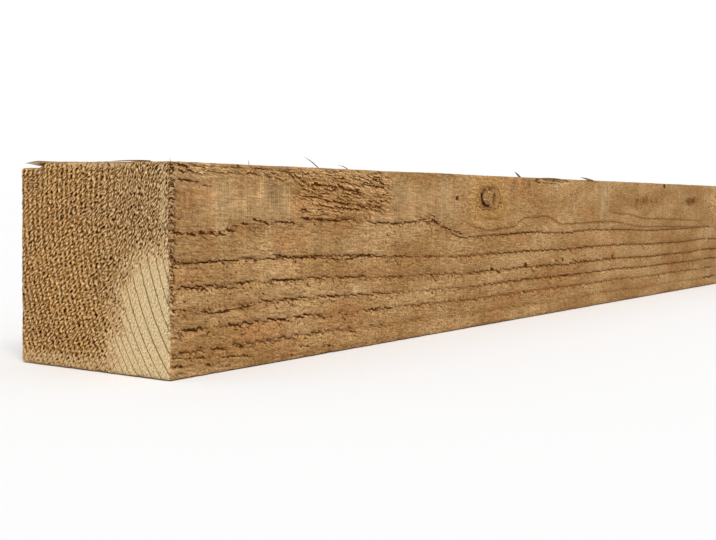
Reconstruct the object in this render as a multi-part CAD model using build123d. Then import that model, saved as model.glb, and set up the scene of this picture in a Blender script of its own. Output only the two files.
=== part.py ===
"""Rough-sawn square timber beam, one piece of softwood, lying flat on one of its long faces.

The beam runs along X, +Z is up and the origin is at the middle of its underside.
"""

import os

from build123d import *

# Driving dimensions, in millimetres
LENGTH = 2400.0  # stock length, along X
WIDTH = 100.0  # sawn section, along Y
HEIGHT = 100.0  # sawn section, along Z
ARRIS_RADIUS = 1.5  # the four long edges, blunted by the saw and by handling
END_BEVEL = 0.6  # the edges round both cross-cut ends, where the fibres have crumbled


def sawn_section():
    """The section that the mill saws, with its four blunted corners, standing on the floor line."""
    section = RectangleRounded(WIDTH, HEIGHT, ARRIS_RADIUS)
    return Pos(0, HEIGHT / 2) * section


def cut_to_length(section):
    """The section run out along X and cut square at both ends, equally far from the middle."""
    across = Plane(origin=(0, 0, 0), x_dir=(0, 1, 0), z_dir=(1, 0, 0))
    return extrude(across * section, amount=LENGTH / 2, both=True)


def bevel_cut_edges(stock):
    """The cross-cut leaves no sharp corner: the edges of both ends are slightly bevelled."""
    ends = stock.faces().sort_by(Axis.X)
    return chamfer(ends[0].edges() + ends[-1].edges(), END_BEVEL)


beam = bevel_cut_edges(cut_to_length(sawn_section()))
beam.label = "beam"

os.makedirs("parts", exist_ok=True)
export_step(beam, "parts/beam.step")
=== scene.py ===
"""A rough-sawn softwood beam on a pale floor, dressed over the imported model.

The growth rings, torn grain, knots and saw-cut ends are one set of formulas. A Geometry Nodes
tree cuts them into the beam's mesh and the wood material colours by them, so relief and colour agree.
"""

from math import cos, pi, radians, sin
from types import SimpleNamespace

import bmesh
import bpy
import numpy as np
from mathutils import Matrix, Vector


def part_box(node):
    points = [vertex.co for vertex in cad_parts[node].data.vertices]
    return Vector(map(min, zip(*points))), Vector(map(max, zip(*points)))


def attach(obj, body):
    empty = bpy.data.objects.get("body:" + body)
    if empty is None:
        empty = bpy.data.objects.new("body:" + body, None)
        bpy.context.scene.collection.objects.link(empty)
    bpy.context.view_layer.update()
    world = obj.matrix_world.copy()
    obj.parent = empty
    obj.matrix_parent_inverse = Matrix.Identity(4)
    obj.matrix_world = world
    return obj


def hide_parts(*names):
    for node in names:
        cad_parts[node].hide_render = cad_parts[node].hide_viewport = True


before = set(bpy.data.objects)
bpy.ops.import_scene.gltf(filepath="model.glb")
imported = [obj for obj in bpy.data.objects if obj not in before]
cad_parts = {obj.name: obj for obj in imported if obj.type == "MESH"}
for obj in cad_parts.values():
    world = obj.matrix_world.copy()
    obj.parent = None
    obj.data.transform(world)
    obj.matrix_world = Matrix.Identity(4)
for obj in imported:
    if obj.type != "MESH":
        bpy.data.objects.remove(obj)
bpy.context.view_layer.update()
BEAM_LOW, BEAM_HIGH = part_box("beam")

bl_info = {
    "name": "Rough-sawn Beam",
    "version": (1, 0, 0),
    "blender": (4, 5, 0),
    "location": "3D View > Sidebar > Beam",
    "description": "Builds a rough-sawn softwood beam with torn grain, knots and frayed ends",
    "category": "Add Mesh",
}

# The grain formulas count in millimetres from the near end, the centre plane and the underside
MM = 1000.0
LENGTH = (BEAM_HIGH.x - BEAM_LOW.x) * MM
HALF_WIDTH = (BEAM_HIGH.y - BEAM_LOW.y) * MM / 2
HEIGHT = (BEAM_HIGH.z - BEAM_LOW.z) * MM

# The front face follows the photo up to here; past this fade its grain is free, as on the hidden faces
SHOWN_FADES, SHOWN_ENDS = 720, 800

# Where a point of the mesh was and which way it faced before the relief was cut
SAWN_AT = "sawn_at"
SAWN_FACING = "sawn_facing"

# Which faces lie across the grain
CUT_END = "cut_end"


def linear(red, green, blue):
    """The shader's linear colour for a colour as a screen shows it, 0 to 255."""
    parts = (value / 255 for value in (red, green, blue))
    return tuple(p / 12.92 if p <= 0.04045 else ((p + 0.055) / 1.055) ** 2.4 for p in parts)


def size(name, description, default):
    """A length that the user may change, in metres."""
    return bpy.props.FloatProperty(
        name=name, description=description, default=default, precision=5, unit="LENGTH", subtype="DISTANCE"
    )


def angle(name, description, default):
    """An angle that the user may change, in radians."""
    return bpy.props.FloatProperty(name=name, description=description, default=default, subtype="ANGLE")


def shade(name, description, *screen):
    """A colour that the user may change, given as a screen shows it."""
    return bpy.props.FloatVectorProperty(
        name=name, description=description, default=linear(*screen), size=3, min=0, max=1, subtype="COLOR"
    )


class BeamSizes(bpy.types.PropertyGroup):
    """Sizes of the sawn surface."""

    arris: size("Arris", "Radius of the blunted edges", 0.0015)
    fine_step: size("Fine step", "Mesh spacing on the shown length before thinning", 0.0010)
    coarse_step: size("Coarse step", "Mesh spacing along the far length before thinning", 0.0060)
    section_step: size("Section step", "Mesh spacing round the section before thinning", 0.0007)
    line_depth: size("Line depth", "Depth of the torn ring lines", 0.0011)
    tear_depth: size("Tear depth", "Depth of the short tears", 0.0007)
    pit_depth: size("Pit depth", "Depth of the pits in the cut ends", 0.0006)
    chip_depth: size("Chip depth", "Depth of the chips along the arrises", 0.0008)
    split_depth: size("Split depth", "How far the corner sinks where the sliver split off", 0.0030)
    faces: bpy.props.IntProperty(
        name="Triangles", description="Triangles that the beam's mesh keeps", default=192000, min=1000
    )


class BeamColours(bpy.types.PropertyGroup):
    """Colours of the treated softwood."""

    tan: shade("Tan", "Paler sawn wood", 181, 145, 99)
    brown: shade("Brown", "Darker sawn wood", 157, 118, 73)
    rust: shade("Rust", "Reddish stain of the treatment", 166, 117, 72)
    burnished: shade("Burnished", "Smooth patches that the saw rubbed pale", 196, 164, 119)
    # Torn is partly the torn wood's own dark brown and partly painted shade for the hollows that it fills
    torn: shade("Torn", "Bottom of tears and torn ring lines", 98, 50, 4)
    late: shade("Late wood", "Brown band along a ring line", 118, 72, 28)
    # This colour is near-black painted shade for the deepest cracks, gashes and grooves
    crack_shade: shade("Crack", "Open crack beside a knot", 40, 16, 5)
    knot: shade("Knot", "Heart of a knot", 184, 146, 94)
    knot_rim: shade("Knot rim", "Rim of a knot", 112, 68, 42)
    halo: shade("Halo", "Grain round a knot", 188, 144, 80)
    fibre: shade("Fibre", "Torn pale fibres", 212, 182, 140)
    weathered: shade("Weathered", "Pale greyed edge of a sliver", 172, 152, 124)
    splinter: shade("Splinter", "Splinters, where they have greyed", 88, 64, 42)
    end_gold: shade("End gold", "Cut end, golden part", 184, 128, 58)
    end_brown: shade("End brown", "Cut end, brown part", 163, 109, 47)
    end_tan: shade("End tan", "Cut end, greyer part", 161, 124, 81)
    # This colour is pale fibre ends with a painted highlight on the ridges beside the pits
    end_fibre_highlight: shade("End fibre", "Bright fibre ends", 255, 220, 166)
    # This colour is painted shade at the bottom of the pits
    end_pit_shade: shade("End pit", "Bottom of the pits in a cut end", 40, 8, 0)
    end_pale: shade("End pale", "Smooth pale corner of a cut end", 192, 173, 134)
    end_ring: shade("End ring", "Ring lines on the smooth corner", 94, 64, 30)


class BeamStage(bpy.types.PropertyGroup):
    """Studio and camera."""

    lens: bpy.props.FloatProperty(name="Lens", description="Focal length in millimetres", default=59.95)
    eye: bpy.props.FloatVectorProperty(
        name="Eye", description="Place of the camera", default=(-1.6013, -0.4175, 0.0859),
        subtype="XYZ", unit="LENGTH",
    )
    yaw: angle("Yaw", "Turn from +X to +Y", 0.5852)
    pitch: angle("Pitch", "Tilt up", -0.0630)
    roll: angle("Roll", "Turn about the view line", 0.0141)
    sky: bpy.props.FloatProperty(name="Sky", description="Strength of the even light", default=0.55, min=0)
    sun: bpy.props.FloatProperty(name="Sun", description="Strength of the soft lamp", default=2.1, min=0)
    floor: shade("Floor", "Pale floor", 246, 246, 246)


class Term:
    """A node's output, with arithmetic that adds nodes to its tree.

    Only nodes that materials and Geometry Nodes share are used, so that one formula serves both.
    """

    def __init__(self, bench, socket):
        self.bench = bench
        self.socket = socket

    def math(self, operation, *others):
        node = self.bench.tree.nodes.new("ShaderNodeMath")
        node.operation = operation
        for place, value in zip(node.inputs, (self, *others)):
            self.bench.feed(place, value)
        return Term(self.bench, node.outputs[0])

    def __add__(self, other):
        return self.math("ADD", other)

    __radd__ = __add__

    def __mul__(self, other):
        return self.math("MULTIPLY", other)

    __rmul__ = __mul__

    def __sub__(self, other):
        return self.math("SUBTRACT", other)

    def __rsub__(self, other):
        return (self * -1) + other

    def __truediv__(self, other):
        return self.math("DIVIDE", other)

    def __neg__(self):
        return self * -1

    def __abs__(self):
        return self.math("ABSOLUTE")

    def sqrt(self):
        return self.math("SQRT")

    def exp(self):
        return self.math("EXPONENT")

    def wave(self):
        """A sine of height 1 that repeats each time the value grows by 1."""
        return (self * (2 * pi)).math("SINE")

    def tanh(self):
        return self.math("TANH")

    def fract(self):
        return self.math("FRACT")

    def round(self):
        return self.math("ROUND")

    def least(self, other):
        return self.math("MINIMUM", other)

    def most(self, other):
        return self.math("MAXIMUM", other)

    def ramp(self, low, high):
        """Rises smoothly from 0 at low to 1 at high."""
        names = {"Value": self, "From Min": low, "From Max": high}
        node = self.bench.node("ShaderNodeMapRange", names, interpolation_type="SMOOTHSTEP", clamp=False)
        return Term(self.bench, node.outputs["Result"])

    def hill(self, middle, reach):
        """A smooth hill of height 1 at the middle."""
        off = (self - middle) / reach
        return (-(off * off)).exp()


class Bench:
    """Adds nodes to one tree, a material's or a Geometry Nodes tree."""

    def __init__(self, tree):
        self.tree = tree

    def feed(self, place, value):
        if isinstance(value, Term):
            value = value.socket
        if isinstance(value, bpy.types.NodeSocket):
            self.tree.links.new(value, place)
        else:
            place.default_value = value

    def node(self, kind, inputs=None, **settings):
        made = self.tree.nodes.new(kind)
        for name, value in settings.items():
            setattr(made, name, value)
        for name, value in (inputs or {}).items():
            self.feed(made.inputs[name], value)
        return made

    def out(self, kind, inputs=None, **settings):
        """The first output of a new node."""
        return self.node(kind, inputs, **settings).outputs[0]

    def parts(self, socket):
        split = self.node("ShaderNodeSeparateXYZ", {0: socket})
        return [Term(self, out) for out in split.outputs]

    def vector(self, x, y, z):
        return Term(self, self.out("ShaderNodeCombineXYZ", {0: x, 1: y, 2: z}))

    def noise(self, x, y, z, detail=0.0):
        """Smooth noise round 0.5, with one bump about each time a value grows by 1."""
        inputs = {"Vector": self.vector(x, y, z), "Scale": 1.0, "Detail": detail, "Roughness": 0.5}
        return Term(self, self.out("ShaderNodeTexNoise", inputs))

    def call(self, formula, **numbers):
        """The result of a formula kept as a node group, made on its first use in a tree of this kind."""
        kind = self.tree.bl_idname
        name = f"{formula.__name__}_{kind}"
        group = bpy.data.node_groups.get(name)
        if group is None:
            group = bpy.data.node_groups.new(name, kind)
            group.interface.new_socket("result", in_out="OUTPUT", socket_type="NodeSocketFloat")
            for label in numbers:
                group.interface.new_socket(label, in_out="INPUT", socket_type="NodeSocketFloat")
            inner = Bench(group)
            entry = inner.node("NodeGroupInput").outputs
            result = formula(**{label: Term(inner, entry[label]) for label in numbers})
            inner.node("NodeGroupOutput", {"result": result})
        return Term(self, self.out(kind.replace("Tree", "Group"), numbers, node_tree=group))

    def blend(self, factor, first, second):
        """A colour between two others."""
        node = self.node("ShaderNodeMix", data_type="RGBA", clamp_factor=True)
        self.feed(node.inputs["Factor"], factor)
        sockets = {socket.identifier: socket for socket in (*node.inputs, *node.outputs)}
        for label, value in (("A_Color", first), ("B_Color", second)):
            self.feed(sockets[label], value if isinstance(value, Term) else (*value, 1.0))
        return Term(self, sockets["Result_Color"])

    def scaled(self, vector, factor):
        return self.out("ShaderNodeVectorMath", {0: vector, "Scale": factor}, operation="SCALE")

    def brighten(self, colour, factor):
        return Term(self, self.scaled(colour, factor))


# Knots: where the branch meets the front face, its radius there, and how it runs on towards the back
KNOTS = (
    SimpleNamespace(along=309.5, height=85.5, radius=7.0, lean=0.40, fall=0.01),
    SimpleNamespace(along=905.0, height=30.0, radius=9.0, lean=0.35, fall=-0.53),
    SimpleNamespace(along=1560.0, height=59.0, radius=8.0, lean=0.42, fall=-0.25),
    SimpleNamespace(along=2140.0, height=78.0, radius=6.5, lean=0.38, fall=0.15),
)

# Ring lines that rise and fall on the front face round the first knot: places along and up the face
FAINT_LINES = (
    (
        (272, 71), (290, 66), (312, 63.5), (345, 65), (368, 71.5),
        (402, 72), (432, 66), (520, 67), (610, 61.5), (800, 59),
    ),
    ((520, 75), (560, 73), (612, 68.5), (800, 65)),
    ((288, 74), (312, 71), (338, 72)),
)

# Small dark holes in the front face: place along, height and radius
HOLES = (
    (267, 84.5, 1.5), (317, 37, 1.7), (370, 37.5, 2.3),
    (433, 39, 1.5), (533, 38.5, 1.7), (655, 97.5, 2.2),
)

# Patches of the front face that the saw tore: start, end, low, high
TORN_PATCHES = ((97, 186, 74, 99), (-5, 70, 94.5, 101), (70, 110, 92, 97), (383, 440, 96, 98))

# Patches of the front face that the saw rubbed smooth: start, end, low, high
BURNISHED_PATCHES = (
    (18, 92, 73, 91), (187, 236, 73, 92), (239, 266, 70, 95),
    (494, 522, 72, 97), (147, 163, 31, 35),
)

# Pale bands across the front face, most of them in the smooth patches: start, end, low, high
GLEAMS = (
    (70.5, 73.5, 54, 98), (31, 41, 62, 90), (63, 71, 78, 91), (77, 92, 76, 86),
    (187, 213, 78, 89), (243, 256, 74, 96), (503, 520, 70, 95),
)

# Gashes that the saw tore in the front face: start and end as places along and up, and half width
GASHES = (
    ((4.5, 99), (13.5, 97.3), 1.0),
    ((4, 96.6), (12.5, 94.2), 0.7),
    ((9.5, 96.8), (14.2, 95), 0.5),
    ((20, 96.8), (24.5, 96), 0.6),
    ((33, 95.8), (38, 95.2), 0.5),
    ((3, 91.8), (20, 91), 0.8),
    ((20, 89.3), (31, 88.9), 0.35),
    ((18.4, 89.6), (20, 87.6), 0.9),
    ((58, 98), (70, 98), 0.6),
    ((54, 95.7), (66, 95.3), 0.5),
    ((69, 95.8), (75, 93.4), 0.6),
    ((77, 97.7), (97, 96.7), 0.6),
    ((146, 73.5), (153, 69), 0.7),
    ((92, 53.5), (96, 49.3), 0.7),
    ((140, 51), (144.5, 46.3), 0.8),
    ((82, 22.6), (92, 19.4), 0.8),
    ((113, 22.6), (124, 18.4), 0.7),
    ((403, 98.4), (436, 97.2), 0.5),
    ((401, 96.8), (420, 95.6), 0.4),
    ((381, 97.2), (387, 99.6), 1.2),
    ((384, 97), (391, 96.1), 0.7),
    ((1, 68.4), (9, 66.4), 0.9),
    ((10, 67.6), (18, 65.8), 1.0),
    ((18.5, 67.8), (26, 66.0), 1.0),
    ((26.5, 67.6), (34, 65.4), 1.1),
    ((33, 67.4), (40, 65.6), 0.8),
    ((38, 68.8), (46, 67.2), 0.9),
    ((44, 70.2), (49, 69.4), 0.6),
    ((49, 71.2), (57, 70.7), 0.9),
    ((58, 73.4), (69, 71.4), 1.1),
    ((67, 71.6), (75, 70.4), 1.0),
    ((76, 71.7), (96, 70.8), 0.9),
    ((99, 73.6), (110, 72.2), 1.3),
    ((108, 73.2), (124, 71.6), 1.0),
    ((121, 72.3), (137, 71.2), 0.8),
    ((135, 71.6), (148, 72.6), 0.7),
    ((176, 70.4), (197, 68.8), 0.7),
    ((97, 93.6), (107, 90.6), 0.9),
    ((104, 91.2), (107.5, 86.4), 0.8),
    ((107, 91.2), (123, 90.4), 0.8),
    ((123, 91), (135, 88), 0.9),
    ((134, 89.2), (161, 86.6), 0.8),
    ((100, 85.6), (126, 82.2), 0.4),
    ((120, 82.8), (152, 80.2), 0.6),
    ((146, 80.8), (180, 78.2), 0.5),
    ((167, 95.4), (176, 93.2), 0.8),
    ((172, 93.6), (185, 91.2), 0.9),
    ((161, 91.6), (183, 89.6), 0.7),
    ((99, 78.6), (109, 76.2), 0.7),
    ((27, 12.6), (42, 10.6), 0.7),
    ((46, 11.6), (55, 10.2), 0.6),
    ((0.5, 11), (9, 9.2), 0.6),
    ((9, 9.2), (31, 8), 0.4),
    ((24, 5.4), (30, 3.8), 0.6),
    ((33, 7.6), (61, 5.4), 0.5),
    ((0.5, 6.6), (11, 5.4), 0.5),
    ((98, 6.4), (111, 5), 0.5),
    ((120, 5.2), (132, 3), 0.6),
    ((143, 11), (154, 8.6), 0.5),
    ((32, 41.6), (50, 39.4), 0.7),
    ((13, 42.2), (28, 39.6), 0.6),
    ((0.5, 55.2), (11, 52.6), 0.7),
    ((9, 53.2), (33, 53), 0.5),
    ((49, 55), (61, 53.6), 0.5),
    ((73, 55.2), (93, 53), 0.8),
    ((91, 53.4), (119, 52), 0.6),
    ((117, 52.2), (141, 49.6), 0.6),
    ((140, 49.8), (158, 51.6), 0.6),
    ((151, 52.4), (173, 51.6), 0.8),
    ((0.5, 32.4), (17, 31.4), 0.5),
    ((19, 31), (30, 28.6), 0.6),
    ((26, 28.8), (48, 29.6), 0.9),
    ((45, 29.6), (63, 30.9), 0.6),
    ((0.5, 22.9), (28, 22.2), 0.4),
    ((168, 21.4), (176, 19.2), 0.9),
    ((182, 20.9), (190, 19.2), 0.8),
    ((70, 42.6), (105, 40.8), 0.6),
    ((198, 70.4), (217, 70), 0.5),
    ((213, 70.6), (236, 72.4), 0.5),
    ((233, 72.2), (247, 67.4), 1.0),
    ((231, 74.8), (240, 72.4), 0.5),
    ((244, 67.6), (262, 64.0), 0.8),
    ((258, 64.8), (283, 60.2), 0.5),
    ((340, 60), (362, 60.6), 0.5),
    ((360, 60.4), (386, 61.2), 0.6),
    ((322, 36.4), (331, 33.2), 0.7),
    ((366, 19.6), (372, 18), 0.8),
    ((418, 39.4), (428, 37.4), 0.7),
    ((450, 39), (462, 36), 0.8),
    ((470, 38), (480, 36.6), 0.8),
    ((430, 27.8), (446, 26.4), 0.7),
)

# Small spots of the front face that were rubbed pale: start, end, low, high
RUBBED = ((148, 163, 31.5, 35), (26, 30, 39, 40.5))

# Reddish stains of the front face: start, end, low, high
STAINS = ((8, 30, 78, 91), (84, 101, 72, 86), (45, 57, 83, 92), (74, 104, 56, 68), (50, 88, 13, 22))


def patch(found, along, height, start, end, low, high, soft, fade):
    """What was found before, or 1 inside one more area with soft borders."""
    inside = along.ramp(start - soft, start + soft) * (1 - along.ramp(end - soft, end + soft))
    inside = inside * height.ramp(low - fade, low + fade) * (1 - height.ramp(high - fade, high + fade))
    return found.most(inside)


def patches(bench, along, height, wobble, areas, soft, fade):
    """1 inside any of the areas and 0 outside, with uneven borders, soft along and fading up and down."""
    place = {"along": along + wobble, "height": height + wobble * 0.4, "soft": soft, "fade": fade}
    found = 0.0
    for start, end, low, high in areas:
        found = bench.call(patch, found=found, start=start, end=end, low=low, high=high, **place)
    return found


def gash(found, along, height, start, end, first, last, half):
    """What was found before, or 1 in the middle of one more gash, which tapers to nothing at both ends."""
    gone = (along - start) / (end - start)
    off = abs(height - gone * (last - first) - first)
    open_half = (gone * (1 - gone) * half * 3.5).most(0.01)
    return found.most(1 - (off / open_half).ramp(0.55, 1.0))


def gashed(bench, along, height, shake):
    """1 in the middle of the gashes and 0 outside, with shaken borders."""
    place = {"along": along + shake * 5, "height": height + shake * 2.4}
    found = 0.0
    for (start, first), (end, last), half in GASHES:
        row = {"start": start, "end": end, "first": first, "last": last, "half": half}
        found = bench.call(gash, found=found, **row, **place)
    return found


def course(along, points):
    """A smooth line through places along and up a face, and how clearly it shows towards its ends."""
    level = along * 0 + points[0][1]
    for (start, low), (end, high) in zip(points, points[1:]):
        level = level + along.ramp(start, end) * (high - low)
    first, last = points[0][0], points[-1][0]
    taper = 18
    return level, along.ramp(first, first + taper) * (1 - along.ramp(last - taper, last))


def surface(bench, place, facing):
    """Where a point lies on the sawn beam, in millimetres, and which face it belongs to."""
    x, y, z = bench.parts(place)
    facing_x, facing_y, facing_z = bench.parts(facing)
    along = (x - BEAM_LOW.x) * MM
    across = y * MM
    height = (z - BEAM_LOW.z) * MM
    end = abs(facing_x).ramp(0.5, 0.8)
    shown = (-facing_y).ramp(0.5, 0.8) * (1 - along.ramp(SHOWN_FADES, SHOWN_ENDS))
    off_x = LENGTH / 2 - abs(along - LENGTH / 2)
    off_y = HALF_WIDTH - abs(across)
    off_z = HEIGHT / 2 - abs(height - HEIGHT / 2)
    edge = off_x.least(off_y).most(off_x.most(off_y).least(off_z))
    return SimpleNamespace(
        along=along, across=across, height=height, depth=across + HALF_WIDTH, from_back=HALF_WIDTH - across,
        facing_y=facing_y, facing_z=facing_z, end=end, shown=shown, edge=edge,
    )


def fray(bench, at):
    """Teeth that the saw tore in the near upright arris: notches, which the materials darken partly with
    painted shade, and pale tufts between them.
    """
    beside = at.along.most(at.depth * 1.7)
    near = (1 - beside.ramp(1.8, 4.6)) * at.height.ramp(5, 45)
    teeth = bench.noise((at.height + beside * 0.35) / 1.6, beside / 2.4, 0.0, detail=2)
    return teeth.ramp(0.48, 0.55) * near, (1 - teeth.ramp(0.36, 0.45)) * near


# The pith: how far it runs in front of the front face at the near end, and how high
PITH_GAP = 101.75
PITH_HEIGHT = 84

# Growth rings: the radius from which they are counted, and their least width
RING_START = 111.08
RING_WIDTH = 2.915

# The spacing of ring lines on a face that meets the rings square on
LINE_SPACING = 4.6


def growth(bench, at):
    """Knots and growth rings at a point."""
    along, across, height = at.along, at.across, at.height

    # Knots, as distances in knot radii, and the side on which the saw tore round the first
    depth = at.depth
    knot = None
    burr = bench.noise(along / 4, across / 4, height / 4, detail=2) - 0.5
    for branch in KNOTS:
        off_along = (along - (depth * branch.lean + branch.along)) * 0.87
        off_height = (height - (depth * branch.fall + branch.height)) * 1.28
        reach = (off_along * off_along + off_height * off_height).sqrt() / (depth * 0.02 + branch.radius)
        knot = reach if knot is None else knot.least(reach)
        if branch is KNOTS[0]:
            lee = (off_along * -0.75 + off_height * -0.65) / branch.radius
    knot = knot * (burr * 0.55 + 1)

    # Growth rings round a pith that runs in front of the beam and comes nearer along it
    pith_gap = PITH_GAP - along.ramp(90, 290) * 1.75 - along.ramp(530, 640) * 0.5
    pith_gap = pith_gap - along.ramp(900, 2400) * 1.3
    out = depth + pith_gap
    rise = height - PITH_HEIGHT
    radius = (out * out + rise * rise).sqrt()
    swell = along.ramp(60, 245) * (1 - along.ramp(236, 288)) * height.hill(70, 9)
    sag = along.ramp(40, 200) * height.hill(33, 11) * at.shown
    wander = (bench.noise(along / 80, across / 50, height / 50, detail=1) - 0.5) * 1.2
    kinks = (1 - along.ramp(46, 58)) * 0.36 + along.ramp(146, 156) * (1 - along.ramp(196, 232)) * 0.30
    kinks = kinks + along.ramp(105, 125) * (1 - along.ramp(140, 150)) * 0.15
    kinks = kinks * height.hill(69, 5) * at.shown
    bent = radius + wander + swell * 1.6 - kinks - sag * 0.75 - knot.hill(0, 2.7) * 1.3

    # The rings' number, which grows more slowly where the wood has wide rings
    count = (bent - RING_START) / RING_WIDTH - ((bent - 126.6) / 19.8).tanh() * 3.43
    count = count - ((bent - 188) / 22).tanh() * 1.2 - 1.2
    layer = count.round()

    # How far down the surface the nearest ring line is
    head_on = (at.facing_y * out + at.facing_z * rise) / radius
    pace = (1 - head_on * head_on).most(0.02).sqrt()
    away = (count - layer) * LINE_SPACING / pace

    # Where the rings meet the face square on, their lines lie close together
    dense = pace.ramp(0.66, 0.95)
    return SimpleNamespace(
        knot=knot, lee=lee, burr=burr, ring=count.fract(), layer=layer, away=away, dense=dense,
    )


def long_face(bench, at, grown):
    """What the saw left on the long faces: torn ring lines, tears, lifted sheets, smooth patches, marks."""
    along, across, height, shown = at.along, at.across, at.height, at.shown
    layer, knot = grown.layer, grown.knot

    # Patches that the saw tore or rubbed smooth
    ragged = (bench.noise(along / 14, across / 7, height / 7, detail=1) - 0.5) * 16
    spread = bench.noise(along / 85, across / 28, height / 28, detail=1)
    torn = patches(bench, along, height, ragged, TORN_PATCHES, 7.0, 2.8) * shown
    torn = torn.most(spread.ramp(0.62, 0.72) * (1 - shown) * 0.8)
    burnished = patches(bench, along, height, ragged * 0.6, BURNISHED_PATCHES, 7.0, 3.5) * shown
    burnished = burnished.most((1 - spread.ramp(0.36, 0.42)) * (1 - shown))
    gleam = patches(bench, along, height, ragged * 0.3, GLEAMS, 2.5, 7.0) * shown
    gleam = gleam.most(patches(bench, along, height, ragged * 0.1, RUBBED, 2.0, 1.2) * shown * 1.7)

    # The ring lines, torn open in steps, and the short branches that hang from them
    calm = along.ramp(430, 600) * shown
    far = along.ramp(190, 340) * (height.ramp(15, 30) * 0.6 + 0.4) * shown
    step = (along / 11 + bench.noise(along / 45, layer * 5.7, 0.0) * 4).fract() - 0.5
    tremor = bench.noise(along / 2.0, layer * 3.3, 0.0, detail=2) - 0.5
    off = grown.away - (step * 1.3 + tremor * 2.6) * (1 - calm * 0.5) * (1 - grown.dense * 0.65)
    opened = bench.noise(along / 24, layer * 4.1, 0.0, detail=1).ramp(0.36, 0.56)
    opened = opened.most(height.hill(52, 3) * 0.75 * shown) * (1 - calm * 0.3)

    # Where the gashes draw a line, the line itself stays thin
    drawn = (1 - along.ramp(140, 160)) * height.hill(70, 4)
    drawn = drawn.most((1 - along.ramp(58, 74)) * height.hill(32, 3))
    opened = opened * (1 - drawn * shown * 0.85)
    opened = opened * (1 - along.ramp(100, 250) * (0.5 - height.ramp(40, 46) * 0.25) * shown)
    faded = (1 - (1 - height.ramp(8, 17)) * shown * 0.6) * (1 - knot.hill(0, 2.4) * 0.8)
    faded = faded * at.edge.ramp(0.8, 2.8) * (1 - grown.dense * 0.6)
    dashes = bench.noise(along / 2.6, layer * 9.1, 0.0).ramp(0.42, 0.56)
    wide = off / (opened.most(far * dashes * 0.8) * 0.6 + 0.55)
    line = (1 - wide.ramp(0.34, 0.58)) * wide.ramp(-0.36, -0.12)
    line = line * (opened * 0.85 + 0.15).most(far * (dashes * 0.75 + 0.2))
    line = line * (1 - drawn * shown * 0.6) * faded
    hang = along - off * 1.5
    beat = (hang / 13 + bench.noise(hang / 40, layer * 2.9, 0.0) * 3).fract() - 0.5
    drop = bench.noise(along / 17, layer * 6.1, 0.0).ramp(0.46, 0.66) * 8 - 1
    branch = (1 - (abs(beat) * 13).ramp(0.2, 0.6)) * off.ramp(-0.2, 0.2)
    branch = branch * (1 - (off - drop).ramp(-2, 0)) * faded
    fringe = (1 - off.ramp(0.5, 5.5)) * off.ramp(-0.5, 0.5) * faded
    late = off.hill(0.3, 0.95) * faded * (far * 0.6 + 0.35)
    for points in FAINT_LINES:
        level, clear = course(along, points)
        below = level - height - (step * 0.6 + tremor * 1.6)
        clear = clear * shown
        late = late.most(below.hill(0.0, 0.9) * clear * 0.8)
        line = line.most((1 - abs(below).ramp(0.15, 0.5)) * clear * (opened * 0.5))

    # Slanting flecks, gashes, the sheets that the saw lifted in the torn patches, and small holes
    steep = along * 0.36
    flecks = bench.noise(along / 6, (across + steep) / 1.0, (height + steep) / 1.0, detail=1)
    low = (1 - along.ramp(120, 280)) * (1 - height.ramp(50, 62)) * shown
    loose = flecks + fringe * 0.10 + torn * 0.07 + low * 0.035 - burnished * 0.2
    tears = loose.ramp(0.70, 0.79).most(branch)
    rugged = bench.noise(along / 1.9, across / 1.2, height / 1.2, detail=2) - 0.5
    gash = gashed(bench, along, height, rugged) * shown
    level = height + across
    sheet_step = 2.1
    stack = (level + along * 0.08 + (bench.noise(along / 30, level / 9, 0.0) - 0.5) * 6) / sheet_step
    sheet = stack.round()
    jump = (along / 9 + bench.noise(along / 35, sheet * 4.7, 0.0) * 4).fract() - 0.5
    shake = bench.noise(along / 2.0, sheet * 8.3, 0.0, detail=2) - 0.5
    gap = (stack - sheet) * sheet_step + jump * 1.1 + shake * 1.9
    lifted = bench.noise(along / 12, sheet * 2.3, 0.0, detail=1).ramp(0.45, 0.54) * torn
    tears = tears.most((1 - abs(gap).ramp(0.2, 0.55)) * lifted)
    # A mask for the material's painted highlight on the ridges between the lifted sheets
    ridge_highlight = abs(gap - 0.75).hill(0.0, 0.3) * torn
    for hole_along, hole_height, hole_radius in HOLES:
        aside = (along - hole_along) / 1.5
        above = height - hole_height
        reach = (aside * aside + above * above).sqrt() / hole_radius + grown.burr
        gash = gash.most((1 - reach.ramp(0.5, 1.1)) * shown)

    # The crescent torn beside a knot, and the saw's own marks across the face
    crescent = knot.hill(1.02, 0.19) * (grown.lee.ramp(0.1, 0.6) * shown + (1 - shown) * 0.6)
    crescent = crescent * grown.burr.ramp(-0.3, -0.1)
    marks = bench.noise(along / 1.0, across / 70, height / 70, detail=1) - 0.5
    tooth_step = 1.5
    teeth = (along / tooth_step + bench.noise(along / 7, across / 60, height / 60)).wave().ramp(0.1, 0.9)
    scored = teeth * bench.noise(along / 8, across / 16, height / 16 + 3.0, detail=1).ramp(0.46, 0.58)
    stained = patches(bench, along, height, ragged * 0.5, STAINS, 6.0, 4.0) * shown
    return SimpleNamespace(
        burnished=burnished, gleam=gleam, torn=torn, line=line, tears=tears, gash=gash, late=late, off=off,
        crescent=crescent, marks=marks, ridge_highlight=ridge_highlight, scored=scored, stained=stained, low=low,
    )


# Slant of the strokes in a cut end, in degrees, on the left of the near end and on its right
LEFT_SLANT, RIGHT_SLANT = 43, 62

# Spacing of the rows in which those strokes lie
HATCH_STEP = 2.0


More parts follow.
